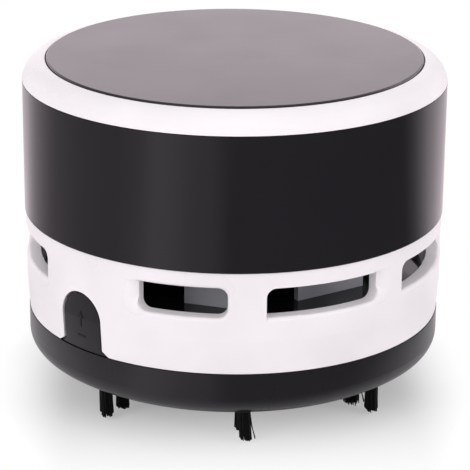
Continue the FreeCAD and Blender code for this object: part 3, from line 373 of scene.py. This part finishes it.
def cell_wrap():
    """A plain shrink wrap with one pale band near the nub, over a can that is bare at its ends."""
    made = Surface("cell_wrap", WRAP_BLUE, roughness=0.25)
    low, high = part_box("battery_cells")
    radius = (high.z - low.z) / 2 / MM
    offset = high.x / MM - radius
    across, along, up = made.parts(made.place)
    side = made.math("SIGN", across)
    aside = made.math("SUBTRACT", made.math("ABSOLUTE", across), offset)
    over = made.math("SUBTRACT", up, low.z / MM + radius)
    square = made.math("ADD", made.math("MULTIPLY", aside, aside), made.math("MULTIPLY", over, over))
    wrapped = made.math("GREATER_THAN", made.math("SQRT", square), BARE_END_RADIUS)
    towards_nub = made.math("MULTIPLY", along, side)
    past_start = made.math("GREATER_THAN", towards_nub, BAND_START)
    before_end = made.math("LESS_THAN", towards_nub, BAND_END)
    banded = made.math("MULTIPLY", past_start, before_end)
    printed = made.pick(banded, opaque(WRAP_BLUE), opaque(WRAP_BAND))
    made.drive("Base Color", made.pick(wrapped, opaque(CAN_STEEL), printed))
    made.drive("Metallic", made.fade(wrapped, 0.0, 1.0, 1.0, WRAP_METALLIC, "LINEAR"))
    made.vary_roughness(made.noise(3.0), 0.2, 0.3)
    made.bump(made.noise(1.5), depth_mm=0.004)
    return made


# ---------------------------------------------------------------- screws

HEAD_RADIUS = {"deck_screws": 1.7 * MM, "holder_screws": 1.7 * MM, "switch_screws": 1.4 * MM}
HEAD_HEIGHT = {"deck_screws": 1.3 * MM, "holder_screws": 1.3 * MM, "switch_screws": 1.1 * MM}
# A head's outline from the middle of its top: shares of its radius outwards and its height down.
HEAD_OUTLINE = [(0.0, 0.0), (0.55, 0.05), (0.85, 0.25), (1.0, 0.6), (1.0, 1.0)]
SHANK_SHARE = 0.47          # of the head's radius
CROSS_SHARE = 0.62          # of the head's radius, covered by each arm of the recess
CROSS_WIDTH = 0.5 * MM
CROSS_DEPTH = 0.6 * MM
SCREW_SIDES = 32


def screw_profile(head_radius, head_height, length):
    """Radius and height from the axis at the top, which is at 0, round to the axis at the tip."""
    shank_radius = SHANK_SHARE * head_radius
    head = [(out * head_radius, -down * head_height) for out, down in HEAD_OUTLINE]
    shank = [(shank_radius, -head_height), (shank_radius, -length + shank_radius), (0.0, -length)]
    return head + shank


def spun(build, profile):
    """A solid of revolution about Z from a profile that starts and ends on the axis."""
    top = build.verts.new((0, 0, profile[0][1]))
    tip = build.verts.new((0, 0, profile[-1][1]))
    rings = [[build.verts.new((radius * math.cos(turn), radius * math.sin(turn), height))
              for turn in (2 * math.pi * side / SCREW_SIDES for side in range(SCREW_SIDES))]
             for radius, height in profile[1:-1]]
    for side in range(SCREW_SIDES):
        after = (side + 1) % SCREW_SIDES
        build.faces.new((top, rings[0][side], rings[0][after]))
        build.faces.new((tip, rings[-1][after], rings[-1][side]))
        for upper, lower in zip(rings, rings[1:]):
            build.faces.new((upper[side], lower[side], lower[after], upper[after]))


def object_of(name, build):
    """An object in the scene with the faces of a bmesh, which is used up."""
    mesh = bpy.data.meshes.new(name)
    bmesh.ops.recalc_face_normals(build, faces=build.faces)
    build.to_mesh(mesh)
    build.free()
    made = bpy.data.objects.new(name, mesh)
    bpy.context.scene.collection.objects.link(made)
    return made


def cross_cutter(arm):
    """Two crossed bars that reach as deep below the origin as the driver's recess."""
    build = bmesh.new()
    for length, width in ((2 * arm, CROSS_WIDTH), (CROSS_WIDTH, 2 * arm)):
        place = Matrix.Diagonal((length, width, 2 * CROSS_DEPTH, 1.0))
        bmesh.ops.create_cube(build, size=1.0, matrix=place)
    return object_of("cross_cutter", build)


def screw_mesh(node, length):
    """One screw with its head's top at the origin, pointing down, and a cross recess in the head."""
    head_radius = HEAD_RADIUS[node]
    build = bmesh.new()
    spun(build, screw_profile(head_radius, HEAD_HEIGHT[node], length))
    blank = object_of(node + "_blank", build)
    cutter = cross_cutter(CROSS_SHARE * head_radius)
    cutting = blank.modifiers.new("recess", "BOOLEAN")
    cutting.operation = "DIFFERENCE"
    cutting.solver = "EXACT"
    cutting.use_self = True
    cutting.object = cutter
    bpy.context.view_layer.update()
    shown = blank.evaluated_get(bpy.context.evaluated_depsgraph_get())
    shaped = bpy.data.meshes.new_from_object(shown)
    bpy.data.objects.remove(blank)
    bpy.data.objects.remove(cutter)
    return shaped


def add_screws(node, steel, along_y=False):
    """Pan-head screws with a cross recess in place of a node's plain ones."""
    build = bmesh.new()
    for solid in solids_of(node):
        size = solid.high - solid.low
        if along_y:
            place = Matrix.Translation((solid.middle.x, solid.low.y, solid.middle.z))
            place @= Matrix.Rotation(math.radians(90), 4, "X")
            length = size.y
        else:
            place = Matrix.Translation((solid.middle.x, solid.middle.y, solid.high.z))
            length = size.z
        screw = screw_mesh(node, length)
        screw.transform(place)
        build.from_mesh(screw)
        bpy.data.meshes.remove(screw)
    made = object_of(node + "_crossed", build)
    made.data.materials.append(steel.material)
    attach(made, "housing")
    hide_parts(node)


# ---------------------------------------------------------------- spring behind the release tab

def add_tab_coil(steel):
    """The spring behind the tab, which on the real thing shortens, towards its inner end, as the tab is
    pressed: a steel copy in place of the plain node.
    """
    mesh = NODES["tab_spring"].data.copy()
    mesh.materials.clear()
    mesh.materials.append(steel.material)
    made = bpy.data.objects.new("tab_coil", mesh)
    bpy.context.scene.collection.objects.link(made)
    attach(made, "housing")
    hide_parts("tab_spring")
    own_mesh(made)


# ---------------------------------------------------------------- mark on the release tab

MARK_RISE = 0.1 * MM
MARK_ROOT = 0.1 * MM
RAY_START = 0.1             # metres from the axis, outside the tab
# Millimetres along the tab's arc from its middle, and above the desk.
MARK_BAR = [(-1.05, 20.3), (1.05, 20.3), (1.05, 20.7), (-1.05, 20.7)]
MARK_ARROW = [(-0.2, 22.5), (0.2, 22.5), (0.2, 24.4), (0.8, 24.4), (0.0, 25.7), (-0.8, 24.4), (-0.2, 24.4)]


def raised(build, tab, azimuth, outline):
    """A flat shape that stands a little proud of the tab and is rooted in it."""
    fronts = []
    backs = []
    for arc, height in outline:
        turn = azimuth + arc * MM / CAD_BOX[1].x
        outwards = Vector((math.sin(turn), -math.cos(turn), 0))
        start = outwards * RAY_START + Vector((0, 0, height * MM))
        place = tab.ray_cast(start, -outwards)[0]
        fronts.append(build.verts.new(place + outwards * MARK_RISE))
        backs.append(build.verts.new(place - outwards * MARK_ROOT))
    build.faces.new(fronts)
    build.faces.new(backs[::-1])
    for k in range(len(outline)):
        build.faces.new((fronts[k - 1], backs[k - 1], backs[k], fronts[k]))


def add_tab_mark():
    """A push mark: a raised arrow over a bar, whose darker colour is painted shade standing in for the
    shadow in engraved grooves.
    """
    mesh = NODES["release_tab"].data
    tab = BVHTree.FromPolygons([vertex.co for vertex in mesh.vertices],
                               [face.vertices for face in mesh.polygons])
    low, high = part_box("release_tab")
    middle = (low + high) / 2
    azimuth = math.atan2(middle.x, -middle.y)
    build = bmesh.new()
    raised(build, tab, azimuth, MARK_BAR)
    raised(build, tab, azimuth, MARK_ARROW)
    made = object_of("tab_mark", build)
    # Painted shade: the raised mark is coloured darker than the tab to stand in for the shadow in an
    # engraved groove.
    surface = moulded("mark_groove_shade", shade(BLACK, 0.6), roughness=0.5, grain_mm=0.002)
    made.data.materials.append(surface.material)
    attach(made, "tab")


# ---------------------------------------------------------------- bristles

HAIRS = 110
HAIR_RADIUS = 0.13 * MM
HAIR_TAPER = 0.3            # of its radius, lost towards the tip
HAIR_STEPS = 3
HAIR_SIDES = 4
BUNDLE_RADIUS = 1.25 * MM
SHORTEST_GAP = 0.05 * MM    # of a tip over the desk
CLUMPS = 11                 # hairs that stick together and end together
CLUMP_GAP = 0.3             # mm by which clumps, and then single hairs, differ in length and lean
CLUMP_LEAN = 0.1
HAIR_GAP = 0.08
HAIR_LEAN = 0.1
BROKEN_FROM = 0.72          # of the bundle's radius towards -X, beyond which hairs are broken off
BROKEN_SHARE = (0.7, 1.0)   # of the tuft's broken length, drawn for each of them

LOOSE_HAIRS = 3
LOOSE_REACH = (0.9, -0.1)   # of the bundle's radius, for the first one, and what each next one adds
LOOSE_BACK = (0.0, -0.2)    # mm along Y
LOOSE_BEND = (0.0, 0.12)    # mm more than the tuft's own figure
LOOSE_GAP = (0.4, 0.25)     # mm more than the tuft's lift

# How a tuft has worn: millimetres that its tips lean towards +X and end above the desk, how much
# shorter the side towards -X is, how much the outermost hairs on that side are broken off, how far
# loose hairs stand out on the other side, and the share of its radius by which it splays.
Wear = namedtuple("Wear", "lean lift slope broken loose splay")
# The tufts that the photo shows, by their node and their place from the front towards +X.
WORN = {("outer_bristle_tufts", 0): Wear(0.3, 0.3, 0.7, 2.4, 1.2, 0.05),
        ("inner_bristle_tufts", 0): Wear(-0.2, 0.6, 0.2, 0.3, 0.0, 0.15),
        ("outer_bristle_tufts", 1): Wear(0.05, 0.45, 0.1, 0.4, 0.0, 0.15),
        ("inner_bristle_tufts", 1): Wear(-0.6, 0.9, 0.9, 0.5, 1.1, 0.9),
        ("outer_bristle_tufts", 6): Wear(0.2, 0.3, -0.3, 0.8, 0.0, 0.05),
        ("inner_bristle_tufts", 6): Wear(0.0, 0.9, 0.15, 0.2, 0.0, 0.2)}


def hair(build, root, bend, length):
    """One filament: a thin tube that leaves its root straight down and bends towards its tip."""
    rings = []
    for step in range(HAIR_STEPS + 1):
        t = step / HAIR_STEPS
        centre = root + bend * (t * t) + Vector((0, 0, -length * t))
        radius = HAIR_RADIUS * (1.0 - HAIR_TAPER * t)
        rings.append([build.verts.new(centre + Vector((math.cos(turn), math.sin(turn), 0)) * radius)
                      for turn in (2 * math.pi * side / HAIR_SIDES for side in range(HAIR_SIDES))])
    for upper, lower in zip(rings, rings[1:]):
        for side in range(HAIR_SIDES):
            after = (side + 1) % HAIR_SIDES
            build.faces.new((upper[side], upper[after], lower[after], lower[side]))
    build.faces.new(rings[0][::-1])
    build.faces.new(rings[-1])


def tuft(build, centre, top, wear, draws):
    """A bundle of filaments in one hole, with the jagged, slanted end of a cut and worn tuft."""
    clump_gaps = [abs(draws.gauss(0, CLUMP_GAP)) * MM for _ in range(CLUMPS)]
    clump_leans = [draws.gauss(0, CLUMP_LEAN) * MM for _ in range(CLUMPS)]
    slope_side = math.copysign(1, wear.slope)
    for k in range(HAIRS):
        angle = k * math.pi * (3 - math.sqrt(5))
        reach = BUNDLE_RADIUS * math.sqrt((k + 0.5) / HAIRS)
        across = Vector((math.cos(angle), math.sin(angle), 0.0)) * reach
        clump = int(CLUMPS * ((angle / (2 * math.pi)) % 1.0))
        left = max(0.0, -across.x) / BUNDLE_RADIUS
        gap = SHORTEST_GAP + max(0.0, wear.lift) * MM + clump_gaps[clump]
        gap += abs(draws.gauss(0, HAIR_GAP)) * MM
        gap += abs(wear.slope) * MM * (1 - slope_side * across.x / BUNDLE_RADIUS) / 2
        if left > BROKEN_FROM:
            gap += wear.broken * MM * draws.uniform(*BROKEN_SHARE)
        bend = Vector((wear.lean * MM + clump_leans[clump], draws.gauss(0, HAIR_LEAN) * MM, 0.0))
        bend += across * draws.uniform(0.0, wear.splay)
        hair(build, centre + across + Vector((0, 0, top)), bend, top - gap)


def loose_hairs(build, centre, top, wear):
    """A few hairs that stand out of a worn tuft towards +X, each a little more than the last."""
    for k in range(LOOSE_HAIRS):
        reach, back, bend, gap = [first + k * step
                                  for first, step in (LOOSE_REACH, LOOSE_BACK, LOOSE_BEND, LOOSE_GAP)]
        root = centre + Vector((BUNDLE_RADIUS * reach, MM * back, top))
        hair(build, root, Vector(((wear.loose + bend) * MM, 0, 0)), top - (wear.lift + gap) * MM)


def azimuth_of(solid):
    """From -Y towards +X, in radians from 0 to a full turn."""
    return math.atan2(solid.middle.x, -solid.middle.y) % (2 * math.pi)


def drawn_wear(draws):
    return Wear(lean=draws.uniform(-0.4, 0.4),
                lift=draws.uniform(-0.1, 0.7),
                slope=draws.uniform(-0.6, 0.6),
                broken=draws.uniform(0.0, 1.0),
                loose=0.0,
                splay=draws.uniform(0.05, 0.3))


def add_bristles(name, node, draws, nylon):
    """Replaces one ring of plain tufts by bundles of filaments."""
    build = bmesh.new()
    for k, solid in enumerate(sorted(solids_of(node), key=azimuth_of)):
        drawn = drawn_wear(draws)
        wear = WORN.get((node, k), drawn)
        centre = Vector((solid.middle.x, solid.middle.y, 0.0))
        tuft(build, centre, solid.high.z, wear, draws)
        if wear.loose:
            loose_hairs(build, centre, solid.high.z, wear)
    made = object_of(name, build)
    made.data.materials.append(nylon.material)
    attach(made, "base")
    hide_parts(node)


def dress_bristles():
    draws = random.Random(7)
    nylon = Surface("bristle_nylon", (0.004, 0.004, 0.005), roughness=0.5)
    nylon.set("Specular IOR Level", 0.25)
    nylon.vary_color(nylon.noise(0.5), (0.002, 0.002, 0.003), (0.007, 0.007, 0.008))
    nylon.vary_roughness(nylon.noise(0.8), 0.42, 0.6)
    add_bristles("inner_bristles", "inner_bristle_tufts", draws, nylon)
    add_bristles("outer_bristles", "outer_bristle_tufts", draws, nylon)


# ---------------------------------------------------------------- studio

# What a reflection meets, by azimuth in degrees from -Y towards +X: a white backdrop behind the
# object, one soft light in front on the left, and the dim room on the other side.
SURROUNDINGS = [(-180, 1.2), (-168, 1.2), (-158, 0.8), (-142, 1.05), (-126, 0.75), (-106, 0.45),
                (-80, 0.39), (-62, 0.4), (-50, 0.55), (-42, 0.85), (-34, 0.82), (-22, 0.55),
                (-14, 0.5), (-5, 0.2), (12, 0.2), (60, 0.15), (90, 0.11), (98, 0.3),
                (114, 0.95), (128, 1.05), (142, 0.95), (158, 0.8), (168, 1.2), (180, 1.2)]
CAST = (1.0, 0.89, 0.95)        # the tint of what a reflection meets
OVERHEAD = 0.4                  # what a reflection meets straight above
OVERHEAD_RISE = (0.15, 0.6)     # the sine of the elevation over which that takes over
SKY_LIGHT = 0.84                # the world's even light
LAMP_SIZE = 0.5                 # metres
LAMP_AIM = Vector((0, 0, 0.035))
PLAIN_WHITE = (1, 1, 1, 1)

FLOOR_RADIUS = 1.6
FLOOR_SIDES = 96
FLOOR_COLOR = (0.86, 0.835, 0.86)
# To the camera, the floor turns white over these metres before and behind the axis, and to its
# sides: painted light, a glow that lightens the object's shadow. Under the object it keeps its least share
# of white.
LEAST_GLOW = 0.28
GLOW_AHEAD = (0.009, 0.06)
GLOW_ASIDE = (0.033, 0.05)
# A reflection meets the lit floor near the object and the surroundings beyond it. The change lies
# at these metres from the axis, and sideways they count as less.
NEAR_FLOOR = (0.035, 0.06)
SIDEWAYS_SHARE = 0.6


def surroundings(nodes, vector):
    """The brightness that a reflection meets in the direction of this vector, and its rise."""
    across, along, rise = nodes.parts(vector)
    azimuth = nodes.math("ARCTAN2", across, nodes.math("MULTIPLY", along, -1.0))
    ramp = nodes.add("ShaderNodeValToRGB")
    stops = ramp.color_ramp.elements
    while len(stops) > 1:
        stops.remove(stops[-1])
    for k, (degrees, level) in enumerate(SURROUNDINGS):
        stop = stops[0] if k == 0 else stops.new(1.0)
        stop.position = (degrees + 180) / 360
        stop.color = opaque([level * channel for channel in CAST])
    nodes.feed(ramp.inputs["Fac"], nodes.math("MULTIPLY_ADD", azimuth, 0.5 / math.pi, 0.5))
    return ramp.outputs["Color"], rise


def painted_floor_glow(nodes, across, along):
    """How far the floor glows white for the camera: painted light that lightens the object's shadow."""
    ahead = nodes.fade(nodes.math("ABSOLUTE", along), *GLOW_AHEAD, LEAST_GLOW, 1.0)
    aside = nodes.fade(nodes.math("ABSOLUTE", across), *GLOW_ASIDE, 0.0, 1.0 - LEAST_GLOW)
    return nodes.math("MINIMUM", nodes.math("ADD", ahead, aside), 1.0)


def far_share(nodes, across, along):
    """How far a reflection of the floor shows the surroundings in its place."""
    narrowed = nodes.math("MULTIPLY", across, SIDEWAYS_SHARE)
    square = nodes.math("ADD", nodes.math("POWER", narrowed, 2.0), nodes.math("POWER", along, 2.0))
    return nodes.fade(nodes.math("SQRT", square), *NEAR_FLOOR)


def floor_material():
    material = bpy.data.materials.new("floor_white")
    material.use_nodes = True
    nodes = Nodes(material.node_tree)
    shaded = material.node_tree.nodes["Principled BSDF"]
    shaded.inputs["Base Color"].default_value = opaque(FLOOR_COLOR)
    shaded.inputs["Roughness"].default_value = 0.6
    place = nodes.add("ShaderNodeTexCoord").outputs["Object"]
    across, along, _ = nodes.parts(place)
    far = far_share(nodes, across, along)
    lifted = painted_floor_glow(nodes, across, along)
    path = nodes.add("ShaderNodeLightPath")
    backdrop = nodes.add("ShaderNodeEmission")
    around, _ = surroundings(nodes, place)
    nodes.feed(backdrop.inputs["Color"], nodes.pick(path.outputs["Is Camera Ray"], around, PLAIN_WHITE))
    # Painted light: a glow, seen only by the camera, that lightens the object's shadow on the floor.
    share = nodes.math("MULTIPLY", lifted, path.outputs["Is Camera Ray"])
    mirrored = nodes.math("MULTIPLY", far, path.outputs["Is Glossy Ray"])
    mix = nodes.add("ShaderNodeMixShader")
    nodes.feed(mix.inputs["Fac"], nodes.math("ADD", share, mirrored))
    nodes.feed(mix.inputs[1], shaded.outputs["BSDF"])
    nodes.feed(mix.inputs[2], backdrop.outputs["Emission"])
    nodes.feed(material.node_tree.nodes["Material Output"].inputs["Surface"], mix.outputs["Shader"])
    return material


def add_floor():
    """A pale floor that melts into the white backdrop away from the object; its glow to the camera is
    painted light that lightens the object's shadow.
    """
    build = bmesh.new()
    bmesh.ops.create_circle(build, cap_ends=True, segments=FLOOR_SIDES, radius=FLOOR_RADIUS)
    floor = object_of("floor", build)
    floor.data.materials.append(floor_material())


def add_world():
    """White to the camera, the surroundings to reflections, and an even light."""
    world = bpy.data.worlds.new("studio")
    bpy.context.scene.world = world
    world.use_nodes = True
    nodes = Nodes(world.node_tree)
    background = world.node_tree.nodes["Background"]
    direction = nodes.add("ShaderNodeTexCoord").outputs["Generated"]
    around, rise = surroundings(nodes, direction)
    above = nodes.fade(rise, *OVERHEAD_RISE)
    around = nodes.pick(above, around, opaque([OVERHEAD * channel for channel in CAST]))
    path = nodes.add("ShaderNodeLightPath")
    glossy = nodes.math("MAXIMUM", path.outputs["Is Glossy Ray"], path.outputs["Is Transmission Ray"])
    seen = nodes.pick(glossy, opaque([SKY_LIGHT] * 3), around)
    seen = nodes.pick(path.outputs["Is Camera Ray"], seen, PLAIN_WHITE)
    nodes.feed(background.inputs["Color"], seen)


def add_lamp(name, place, watts):
    """A soft lamp aimed at the object, which reflections don't show."""
    data = bpy.data.lights.new(name, "AREA")
    data.shape = "RECTANGLE"
    data.size = LAMP_SIZE
    data.size_y = LAMP_SIZE
    data.energy = watts
    lamp = bpy.data.objects.new(name, data)
    lamp.location = place
    lamp.rotation_euler = (LAMP_AIM - Vector(place)).to_track_quat("-Z", "Y").to_euler()
    bpy.context.scene.collection.objects.link(lamp)
    lamp.visible_glossy = False


add_camera()
dress_shells()
dress_inside()
STEEL = dress_metal()
add_screws("deck_screws", STEEL)
add_screws("holder_screws", STEEL)
add_screws("switch_screws", STEEL, along_y=True)
add_tab_coil(STEEL)
add_tab_mark()
dress_bristles()
add_floor()
add_world()
add_lamp("key_lamp", (-0.68, -0.6, 0.45), 2.7)
add_lamp("fill_lamp", (0.75, -0.45, 0.4), 1.9)
add_lamp("back_lamp", (0.1, 0.9, 0.45), 1.5)
